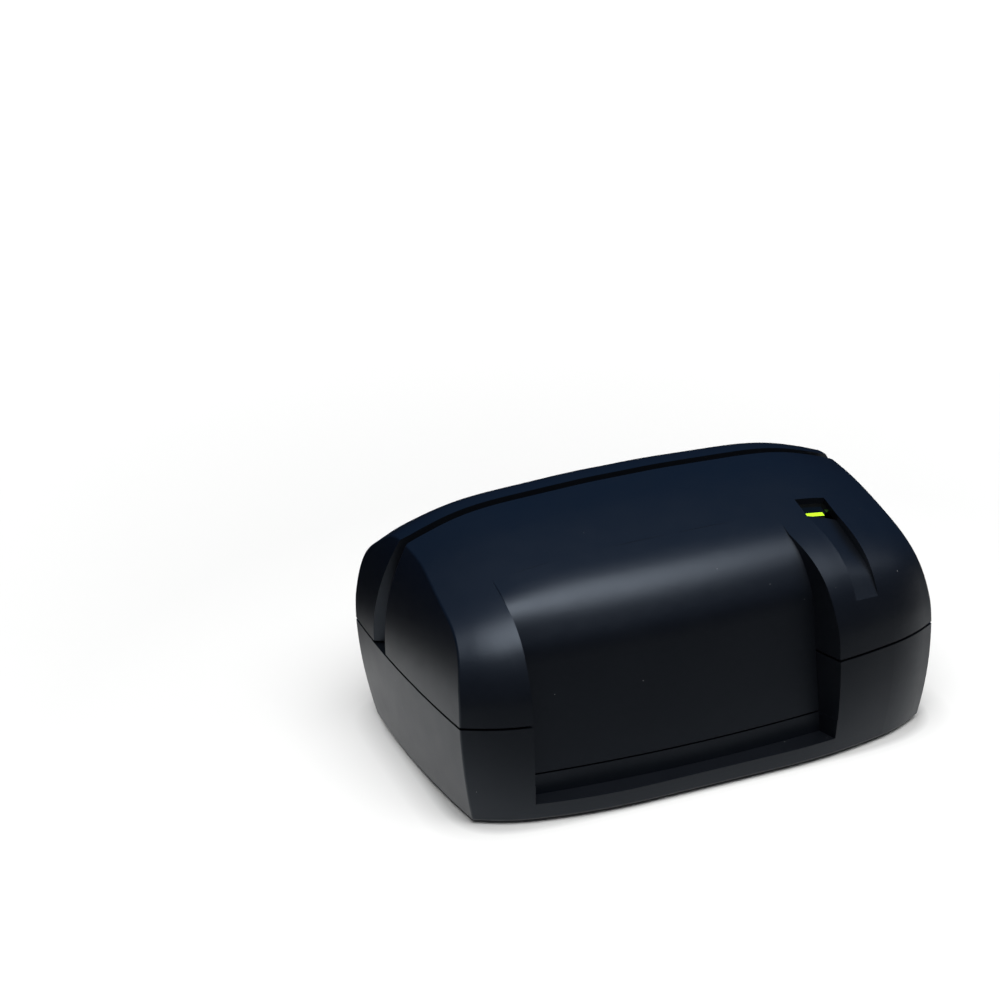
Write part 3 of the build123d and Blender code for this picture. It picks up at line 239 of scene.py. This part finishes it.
world = bpy.data.worlds.new("room")
bpy.context.scene.world = world
world.use_nodes = True
room = Tree(world.node_tree, "Generated")
room_depth = room.ramp(room.axis("z"), (0.0, 0.0), (1.0, 1.0))
room_colour = room.blend(room.ray("Glossy"), room_plain, room.blend(room_depth, room_low, room_high))
room_light = world.node_tree.nodes["Background"]
room.set(room_light.inputs["Color"], room_colour)
white_back = room.node("ShaderNodeBackground", {}, {"Color": (1, 1, 1, 1), "Strength": 1.0})
mix = room.node("ShaderNodeMixShader", {}, {0: room.ray("Camera")})
room.links.new(room_light.outputs[0], mix.socket.node.inputs[1])
room.links.new(white_back.socket, mix.socket.node.inputs[2])
room.links.new(mix.socket, room.nodes["World Output"].inputs["Surface"])


# The housing is three mouldings of black ABS, a tub and two covers that are screwed down on it. The mould is
# finely spark-eroded, so the skin is satin with a very fine grain, and a few specks of dust lie on it.

def dress(finish, *names):
    for name in names:
        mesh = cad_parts[name].data
        mesh.materials.clear()
        mesh.materials.append(finish.material)


dust_spacing, dust_most, dust_least = 0.0042, 0.05, 0.008
housing = Finish("housing_black", Specular_IOR_Level=0.36, Specular_Tint=(0.74, 0.85, 1.0, 1))
housing_shade = housing.blend(housing.noise(0.012), colour(2, 3, 6), colour(5, 6, 9))
dust = housing.cells(dust_spacing) < housing.noise(0.02) * dust_most - dust_least
housing.feed(
    Base_Color=housing.blend(dust * 0.8, housing_shade, colour(128, 130, 132)),
    Roughness=0.38 + housing.noise(0.004) * 0.06 + dust * 0.3,
    Normal=housing.bump(housing.noise(0.00022, 1), 0.000006, housing.bump(housing.noise(0.009, 1), 0.00002)),
)
dress(housing, "base_casing", "front_cover", "rear_cover")


# The floor of the slot is a strip of the same black ABS, polished along its length by the papers that run on it.

track = Finish("track_black", Specular_IOR_Level=0.35)
track_wear = track.noise(0.0009, 3, (0.04, 1, 1))
track.feed(
    Base_Color=track.blend(track_wear, colour(14, 15, 18), colour(27, 28, 31)),
    Roughness=0.2 + track_wear * 0.25,
    Normal=track.bump(track_wear, 0.00002),
)
dress(track, "document_track")


# The indicator is a smoked acrylic window on the right shoulder. A clear bar behind it stands on a small lamp and
# shows as a bright yellow-green line, a painted glow on its top face with its sides painted dark; the rest of the
# window stays black but for a faint painted glow next to the bar, for the lamp's light leaking past it.

window = Finish("window_smoked", Specular_IOR_Level=0.12, Emission_Strength=1.0)
window_smears = window.noise(0.0016, 3)
# A painted glow on the window next to the bar, fading over a short reach from its edge, stands for light leaking from
# the lamp.
painted_leak_edge, painted_leak_reach, painted_leak_back = 0.0319, 0.0009, -0.0112
painted_leak_fall = window.ramp((window.axis("x") - painted_leak_edge) / painted_leak_reach, (0.0, 1.0), (1.0, 0.0))
painted_leak = painted_leak_fall * (window.axis("x") > painted_leak_edge)
window.feed(
    Base_Color=window.blend(window_smears, colour(3, 4, 4), colour(8, 9, 9)),
    Emission_Color=window.blend(painted_leak * (window.axis("y") < painted_leak_back), (0, 0, 0, 1), colour(34, 66, 6)),
    Roughness=0.1 + window_smears * 0.1,
)
dress(window, "indicator_lens")

bar_front, bar_back, bar_top, bar_tilt = -0.01568, -0.01168, 0.0426, 0.35
bar = Finish("bar_green", Emission_Strength=1.0, Roughness=0.2)
bar_along = (bar.axis("y") - bar_front) / (bar_back - bar_front)
# The bar's glow is painted light: bright on its top face, dimmer at its ends and lower down.
painted_glow_ends = bar.ramp(bar_along, (0.0, 0.55), (0.2, 1.0), (0.8, 1.0), (1.0, 0.5))
painted_glow_height = bar.ramp(bar.axis("z") / bar_top, (0.55, 0.25), (0.93, 1.0))
painted_bar_glow = bar.blend(painted_glow_ends * painted_glow_height, colour(60, 96, 4), colour(196, 240, 14))
# Only the top face is painted lit; the sides are painted dark, a painted shade, and glow only faintly.
painted_lit_face = bar.axis("z", bar.node("ShaderNodeNewGeometry", output="Normal")) > bar_tilt
painted_bar_light = bar.blend(bar.noise(0.0009, 3) * 0.3, painted_bar_glow, colour(160, 214, 8))
bar_body = bar.blend(bar.noise(0.0012, 2), colour(90, 130, 16), colour(120, 160, 30))
bar.feed(
    Base_Color=bar.blend(painted_lit_face, colour(14, 20, 4), bar_body),
    Emission_Color=bar.blend(painted_lit_face, colour(10, 20, 1), painted_bar_light),
)
dress(bar, "light_guide")

lamp_x, lamp_y, lamp_eye_squared = 0.02865, -0.01368, 0.0000004
lamp = Finish("lamp_body", Roughness=0.4, Emission_Strength=0.9)
lamp_aside = lamp.axis("x") - lamp_x
lamp_across = lamp.axis("y") - lamp_y
lamp_eye = lamp_aside * lamp_aside + lamp_across * lamp_across < lamp_eye_squared
lamp_shell = lamp.blend(lamp.noise(0.0005), colour(222, 220, 208), colour(236, 234, 226))
lamp.feed(
    Base_Color=lamp.blend(lamp_eye, lamp_shell, colour(206, 232, 70)),
    Emission_Color=lamp.blend(lamp_eye, (0, 0, 0, 1), colour(186, 236, 20)),
)
dress(lamp, "indicator_lamp")


# The chassis is zinc-plated sheet steel that carries the shafts and the arms, with a bridge of the same sheet
# over the drive shaft. It is pressed and bent, so it shows a spangle and faint rolling lines along its length.

sheet = Finish("sheet_zinc", Metallic=1.0)
spangle = sheet.cells(0.0035, output=1)
rolling = sheet.noise(0.0006, 3, (0.03, 1, 1))
sheet_mottle = sheet.axis("x", spangle) * 0.5 + rolling * 0.4
sheet.feed(
    Base_Color=sheet.blend(sheet_mottle, colour(164, 168, 172), colour(204, 207, 210)),
    Roughness=0.3 + rolling * 0.14 + sheet.axis("y", spangle) * 0.1,
    Normal=sheet.bump(rolling, 0.00001),
)
dress(sheet, "chassis", "roller_bridge")


# The two gears and the core of the drive roller are moulded in white acetal, with the flow lines of the mould
# round their hubs, and the motor's pinion and the two shaft bushes are turned from brass.

def rings(finish, middle, pitch, drift=0.3):
    """Fine rings round an upright axis through middle, as a lathe leaves them."""
    aside = finish.axis("x") - middle[0]
    across = finish.axis("y") - middle[1]
    out = (aside * aside + across * across) ** 0.5
    return finish.node("ShaderNodeTexNoise", {"noise_dimensions": "1D"},
                       {"W": out / pitch + finish.noise(0.004) * drift, "Detail": 2})


drive_place, idler_place, motor_place = (0.026, 0.004425), (0.017913, -0.007125), (0.005162, -0.010541)
for gear, middle in (("drive_gear", drive_place), ("idler_gear", idler_place), ("roller_core", drive_place)):
    acetal = Finish(gear + "_acetal", Subsurface_Weight=0.08, Subsurface_Scale=0.001)
    flow = rings(acetal, middle, 0.0008, 2.0)
    acetal.feed(
        Base_Color=acetal.blend(flow, colour(226, 223, 209), colour(241, 239, 229)),
        Roughness=0.34 + flow * 0.12,
        Normal=acetal.bump(flow, 0.000008),
    )
    dress(acetal, gear)

for turned, middle in (("motor_pinion", motor_place), ("lower_bush", drive_place), ("upper_bush", drive_place)):
    brass = Finish(turned + "_brass", Metallic=1.0)
    turning = rings(brass, middle, 0.00012)
    brass.feed(
        Base_Color=brass.blend(brass.noise(0.003), colour(206, 168, 88), colour(224, 190, 112)),
        Roughness=0.2 + turning * 0.16,
        Normal=brass.bump(turning, 0.000004),
    )
    dress(brass, turned)


# The shafts and pins are ground steel, with the fine rings that grinding leaves, and the clip and the two springs
# are darker spring steel.

shaft = Finish("shaft_ground", Metallic=1.0)
grinding = shaft.noise(0.0002, 3, (0.15, 0.15, 1))
shaft.feed(
    Base_Color=shaft.blend(shaft.noise(0.002), colour(178, 180, 184), colour(206, 208, 211)),
    Roughness=0.16 + grinding * 0.14,
    Normal=shaft.bump(grinding, 0.000003),
)
dress(shaft, "drive_shaft", "idler_pin", "motor_shaft", "pinch_axle", "pinch_pivot", "pressure_axle", "pressure_pivot")

spring_wire = Finish("spring_wire", Metallic=1.0)
drawing = spring_wire.noise(0.0003, 3, (1, 1, 0.4))
spring_wire.feed(
    Base_Color=spring_wire.blend(drawing, colour(112, 114, 120), colour(160, 162, 168)),
    Roughness=0.28 + drawing * 0.15,
)
dress(spring_wire, "idler_clip", "pinch_spring", "pressure_spring")


# The drive roller has a tyre of dark rubber, ground true across its tread, and the two pressing rollers are the
# same. Their ends carry the ring that the mould left.

pinch_place, pressure_place = (0.026, 0.015725), (-0.002, 0.015625)
tyres = {"drive_tyre": drive_place, "pinch_roller": pinch_place, "pressure_roller": pressure_place}
for tyre, middle in tyres.items():
    rubber = Finish(tyre + "_rubber", Specular_IOR_Level=0.3)
    ground = rubber.noise(0.00025, 3, (1, 1, 0.12))
    end_rings = rings(rubber, middle, 0.0005)
    rubber.feed(
        Base_Color=rubber.blend(ground * 0.6 + end_rings * 0.4, colour(26, 26, 28), colour(52, 52, 55)),
        Roughness=0.62 + ground * 0.2,
        Normal=rubber.bump(ground * 0.7 + end_rings * 0.3, 0.00004),
    )
    dress(rubber, tyre)


# The motor is a small drawn can, nickel-plated, closed by a pale moulded cap. The socket's shell has the same
# plating, and the connector of the optical reader is moulded in the cap's nylon.

plating = Finish("nickel_plate", Metallic=1.0)
drawn = plating.noise(0.0004, 3, (1, 1, 0.05))
plating.feed(
    Base_Color=plating.blend(plating.noise(0.004), colour(186, 184, 178), colour(208, 206, 200)),
    Roughness=0.2 + drawn * 0.2,
    Normal=plating.bump(drawn, 0.000006),
)
dress(plating, "motor_can", "data_socket")

pale = Finish("pale_nylon", Subsurface_Weight=0.05, Subsurface_Scale=0.0006)
pale_grain = pale.noise(0.0003, 2)
pale.feed(
    Base_Color=pale.blend(pale.noise(0.003), colour(206, 200, 180), colour(220, 214, 196)),
    Roughness=0.42 + pale_grain * 0.12,
    Normal=pale.bump(pale_grain, 0.000008),
)
dress(pale, "motor_cap", "reader_connector")


# The arms that press the rollers, the head's carrier, the reader's body and the two paper sensors are moulded in
# black glass-filled nylon, which is duller than the housing and shows its fibres.

nylon = Finish("nylon_black", Specular_IOR_Level=0.35)
fibres = nylon.noise(0.0002, 3, (1, 0.25, 1))
nylon.feed(
    Base_Color=nylon.blend(fibres, colour(22, 22, 23), colour(40, 40, 42)),
    Roughness=0.5 + fibres * 0.18,
    Normal=nylon.bump(fibres, 0.00001),
)
dress(nylon, "pinch_arm", "pressure_arm", "head_carrier", "optical_reader", "entry_sensor", "exit_sensor")


# The magnetic head is a polished metal block, lapped along the way that the paper runs.

head = Finish("head_lapped", Metallic=1.0)
lapping = head.noise(0.0003, 3, (0.04, 1, 1))
head.feed(
    Base_Color=head.blend(lapping, colour(150, 152, 156), colour(190, 191, 194)),
    Roughness=0.12 + lapping * 0.16,
    Normal=head.bump(lapping, 0.000003),
)
dress(head, "magnetic_head")


# The optical reader looks through a flat glass plate that the paper slides over, with a few fine wipe marks.

glass = Finish("reader_plate", Transmission_Weight=0.9, IOR=1.5)
wipes = glass.noise(0.0008, 4, (0.1, 1, 1))
glass.feed(
    Base_Color=glass.blend(wipes * 0.3, colour(214, 228, 226), colour(186, 204, 204)),
    Roughness=0.02 + wipes * 0.06,
)
dress(glass, "reader_glass")


# The boards are glass-epoxy with green solder mask. Copper tracks stand a little proud under the mask, run square
# to the edges, and end in tinned holes whose drilled middles are painted near-black, a painted shade in the holes;
# the sawn edges show the bare yellowish glass.

lane, lane_share = 0.00127, 0.3
patch_size, patch_high, patch_low = 0.011, 0.62, 0.3
hole_spacing, ring_radius, drill_radius = 0.0052, 0.00095, 0.0004
for board in ("main_board", "indicator_board"):
    mask = Finish(board + "_mask", Coat_Weight=0.25, Coat_Roughness=0.1)
    patch = mask.axis("x", mask.cells(patch_size, output=1))
    lanes_x = mask.axis("x") / lane
    run_x = lanes_x.maths("FRACT", lanes_x)
    lanes_y = mask.axis("y") / lane
    run_y = lanes_y.maths("FRACT", lanes_y)
    along_x, along_y = run_y < lane_share, run_x < lane_share
    tracks = along_x * (patch > patch_high) + along_y * (patch < patch_low)
    hole = mask.cells(hole_spacing)
    ring, drilled_and_painted_shade = hole < ring_radius / hole_spacing, hole < drill_radius / hole_spacing
    up = mask.node("ShaderNodeNewGeometry", output="Normal")
    flat = mask.node("ShaderNodeMath", {"operation": "ABSOLUTE"}, {0: mask.axis("z", up)})
    sawn = flat < 0.5
    tinned = ring * (1 - sawn) * (1 - drilled_and_painted_shade)
    green = mask.blend(mask.noise(0.006), colour(18, 84, 46), colour(24, 98, 54))
    green = mask.blend(tracks * 0.8, green, colour(42, 132, 74))
    green = mask.blend(tinned, green, colour(196, 198, 200))
    # The drilled middles are painted near-black, a painted shade in the holes.
    green = mask.blend(drilled_and_painted_shade, green, colour(14, 16, 14))
    bare_glass = mask.blend(mask.noise(0.0004, 3), colour(150, 146, 92), colour(190, 184, 128))
    mask.feed(
        Base_Color=mask.blend(sawn, green, bare_glass),
        Metallic=tinned * 0.9,
        Roughness=0.3 + sawn * 0.4,
        Normal=mask.bump(tracks * 0.6 + tinned - drilled_and_painted_shade, 0.00003),
    )
    dress(mask, board)


# The chips are moulded in black epoxy, with a dot at the first pin. Their legs are tinned copper, bent down to
# the board and soldered.

board_top = 0.0074
dot_inset, dot_squared = 0.0011, 0.00000022
chip_sizes = {  # left, front, right, back, top
    "controller_chip": (-0.018, -0.00458, -0.006, 0.00742, 0.0088),
    "memory_chip": (-0.0305, 0.00043, -0.0255, 0.00642, 0.0087),
    "driver_chip": (0.005, -0.01307, 0.011, -0.00807, 0.0089),
}
for chip, (left, front, right, back, top) in chip_sizes.items():
    epoxy = Finish(chip + "_epoxy", Specular_IOR_Level=0.35)
    speckle = epoxy.noise(0.00012, 3)
    dot_x, dot_y = epoxy.axis("x") - (left + dot_inset), epoxy.axis("y") - (back - dot_inset)
    dot = dot_x * dot_x + dot_y * dot_y < dot_squared
    epoxy.feed(
        Base_Color=epoxy.blend(speckle, colour(26, 26, 27), colour(42, 42, 43)),
        Roughness=0.55 + speckle * 0.2 - dot * 0.3,
        Normal=epoxy.bump(speckle - dot * 3.0, 0.00001),
    )
    dress(epoxy, chip)

solder = Finish("leg_tin", Metallic=1.0)
solder.feed(
    Base_Color=solder.blend(solder.noise(0.0006), colour(184, 186, 188), colour(214, 215, 216)),
    Roughness=0.25 + solder.noise(0.0003, 2) * 0.2,
)

leg_reach, leg_width, leg_thick, leg_foot = 0.0009, 0.0003, 0.00015, 0.0005
leg_lean, leg_margin = 0.0001, 0.001


def legs(name, places, rise):
    """Gull-wing legs: each is one strip, out of the chip, down to the board and out along it."""
    rows = []
    for x, y, turn in places:
        bpy.ops.mesh.primitive_plane_add(size=leg_width, location=(0, 0, 0))
        leg = bpy.context.object
        bpy.ops.object.mode_set(mode="EDIT")
        bpy.ops.transform.rotate(value=pi / 2, orient_axis="Y")
        bpy.ops.mesh.select_all(action="SELECT")
        bpy.ops.transform.resize(value=(1, 1, leg_thick / leg_width))
        for step in ((leg_reach - leg_foot, 0, 0), (leg_lean, 0, -(rise - leg_thick)), (leg_foot, 0, 0)):
            bpy.ops.mesh.extrude_region_move(TRANSFORM_OT_translate={"value": step})
        bpy.ops.mesh.select_all(action="SELECT")
        bpy.ops.mesh.normals_make_consistent(inside=False)
        bpy.ops.object.mode_set(mode="OBJECT")
        place = Matrix.Translation((x, y, board_top + rise - leg_thick / 2)) @ Matrix.Rotation(turn, 4, "Z")
        leg.data.transform(place)
        rows.append(leg)
    bpy.ops.object.select_all(action="DESELECT")
    for leg in rows:
        leg.select_set(True)
    bpy.context.view_layer.objects.active = rows[0]
    bpy.ops.object.join()
    row = bpy.context.object
    row.name = row.data.name = name
    row.data.materials.append(solder.material)
    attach(row, "root")
    bpy.ops.object.select_all(action="DESELECT")


leg_rows = ("controller_chip", 0.0008, 4), ("memory_chip", 0.00127, 2), ("driver_chip", 0.00127, 2)
for chip, pitch, sides in leg_rows:
    left, front, right, back, top = chip_sizes[chip]
    middle_x, middle_y = (left + right) / 2, (front + back) / 2
    count_y = int((back - front - leg_margin) / pitch)
    count_x = int((right - left - leg_margin) / pitch)
    spots = []
    for n in range(count_y):
        y = middle_y + (n - (count_y - 1) / 2) * pitch
        spots += [(right, y, 0), (left, y, pi)]
    if sides == 4:
        for n in range(count_x):
            x = middle_x + (n - (count_x - 1) / 2) * pitch
            spots += [(x, back, pi / 2), (x, front, -pi / 2)]
    legs(chip + "_legs", spots, (top - board_top) / 2)


# The small parts round the chips are ceramic resistors and capacitors, soldered flat: a pale or brown body between
# two tinned ends.

part_length, part_width, part_height, part_round = 0.002, 0.00125, 0.0007, 0.0001
part_end_squared = 0.00000045
part_places = (  # x, y, turned across, brown
    (-0.003, -0.003, 0, 1), (-0.003, 0.0, 0, 1), (-0.003, 0.003, 0, 0), (-0.0205, -0.0015, 1, 0),
    (-0.0205, 0.003, 1, 1), (-0.012, 0.0105, 0, 1), (-0.0085, 0.0105, 0, 0), (-0.0225, 0.0095, 0, 1),
    (0.0145, -0.012, 1, 1), (0.0145, -0.0085, 1, 0), (0.0115, 0.017, 1, 1), (0.0265, 0.017, 1, 0),
    (-0.028, 0.0115, 0, 1), (0.009, 0.0, 0, 1), (0.009, 0.0035, 0, 0), (0.021, 0.002, 1, 1),
)
for number, (x, y, turned, brown) in enumerate(part_places, 1):
    bpy.ops.mesh.primitive_cube_add(size=1, location=(0, 0, 0))
    part = bpy.context.object
    part.name = part.data.name = "board_part_%d" % number
    bpy.ops.object.mode_set(mode="EDIT")
    bpy.ops.transform.resize(value=(part_length, part_width, part_height))
    bpy.ops.mesh.bevel(offset=part_round, segments=2, affect="EDGES")
    bpy.ops.mesh.select_all(action="SELECT")
    bpy.ops.object.mode_set(mode="OBJECT")
    place = Matrix.Translation((x, y, board_top + part_height / 2)) @ Matrix.Rotation(turned * pi / 2, 4, "Z")
    part.data.transform(place)
    ceramic = Finish("board_part_%d_body" % number)
    out = ceramic.axis("xy"[turned]) - (x, y)[turned]
    ends = out * out > part_end_squared
    body = (colour(120, 88, 60), colour(146, 110, 78)) if brown else (colour(40, 40, 44), colour(56, 56, 60))
    ceramic.feed(
        Base_Color=ceramic.blend(ends, ceramic.blend(ceramic.noise(0.0004), *body), colour(204, 205, 206)),
        Metallic=ends * 0.95,
        Roughness=0.45 - ends * 0.15,
    )
    part.data.materials.append(ceramic.material)
    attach(part, "root")
    bpy.ops.object.select_all(action="DESELECT")


# The capacitor is a small aluminium can in a dark sleeve that leaves its top bare, with a pale stripe down one
# side for the negative leg.

can_x, can_top, sleeve_rim, stripe_start = 0.004, 0.0126, 0.0003, 0.0018
sleeve = Finish("capacitor_sleeve")
bare = sleeve.axis("z") > can_top - sleeve_rim
stripe = (sleeve.axis("x") - can_x > stripe_start) * (1 - bare)
sleeve_black = sleeve.blend(sleeve.noise(0.001), colour(24, 28, 44), colour(34, 38, 56))
sleeve.feed(
    Base_Color=sleeve.blend(bare, sleeve.blend(stripe, sleeve_black, colour(188, 190, 196)), colour(200, 202, 205)),
    Metallic=bare,
    Roughness=0.32 + sleeve.noise(0.0005) * 0.1,
)
dress(sleeve, "board_capacitor")


# The socket's tongue carries five gilt contacts side by side, a little proud of its upper face.

tongue_x, tongue_high, tongue_inner, tongue_outer = 0.02, 0.00985, 0.0225, 0.0286
contact_pitch, contact_width, contact_thick, contact_lift, contact_round = 0.00065, 0.0003, 0.00008, 0.00006, 0.00003
for number in range(5):
    bpy.ops.mesh.primitive_cube_add(size=1, location=(0, 0, 0))
    contact = bpy.context.object
    contact.name = contact.data.name = "socket_contact_%d" % (number + 1)
    bpy.ops.object.mode_set(mode="EDIT")
    bpy.ops.transform.resize(value=(contact_width, tongue_outer - tongue_inner, contact_thick))
    bpy.ops.mesh.bevel(offset=contact_round, segments=2, affect="EDGES")
    bpy.ops.object.mode_set(mode="OBJECT")
    contact_x = tongue_x + (number - 2) * contact_pitch
    contact_y = (tongue_inner + tongue_outer) / 2
    contact.data.transform(Matrix.Translation((contact_x, contact_y, tongue_high + contact_lift)))
    gilt = Finish("contact_gilt_%d" % (number + 1), Metallic=1.0)
    gilt_lines = gilt.noise(0.0003, 3, (1, 0.05, 1))
    gilt.feed(
        Base_Color=gilt.blend(gilt_lines, colour(214, 176, 92), colour(236, 204, 124)),
        Roughness=0.2 + gilt_lines * 0.1,
    )
    contact.data.materials.append(gilt.material)
    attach(contact, "root")
    bpy.ops.object.select_all(action="DESELECT")


# The screws are plated steel with a hexagon socket, turned and then rolled, so rings run round their heads.

screw_places = {
    "cover_screw_": ((-0.0415, -0.019575), (0.0415, -0.019575), (-0.0415, 0.023925), (0.0415, 0.023925)),
    "chassis_screw_": ((-0.041, -0.008575), (0.041, -0.008575), (-0.041, 0.017825), (0.041, 0.017825)),
}
for kind, places in screw_places.items():
    for number, middle in enumerate(places, 1):
        plated = Finish("%s%d_zinc" % (kind, number), Metallic=1.0)
        turning = rings(plated, middle, 0.0002)
        plated.feed(
            Base_Color=plated.blend(plated.noise(0.001), colour(126, 128, 132), colour(168, 170, 174)),
            Roughness=0.24 + turning * 0.2,
            Normal=plated.bump(turning, 0.000006),
        )
        dress(plated, kind + str(number))


# The feet are pads of soft black rubber, pressed into rings under the tub, with the matt skin of their mould.

foot = Finish("foot_black", Specular_IOR_Level=0.25)
foot_grain = foot.noise(0.0002, 3)
foot.feed(
    Base_Color=foot.blend(foot.noise(0.002), colour(24, 24, 25), colour(38, 38, 39)),
    Roughness=0.75 + foot_grain * 0.15,
    Normal=foot.bump(foot_grain, 0.00003),
)
dress(foot, "rubber_foot_1", "rubber_foot_2", "rubber_foot_3", "rubber_foot_4")
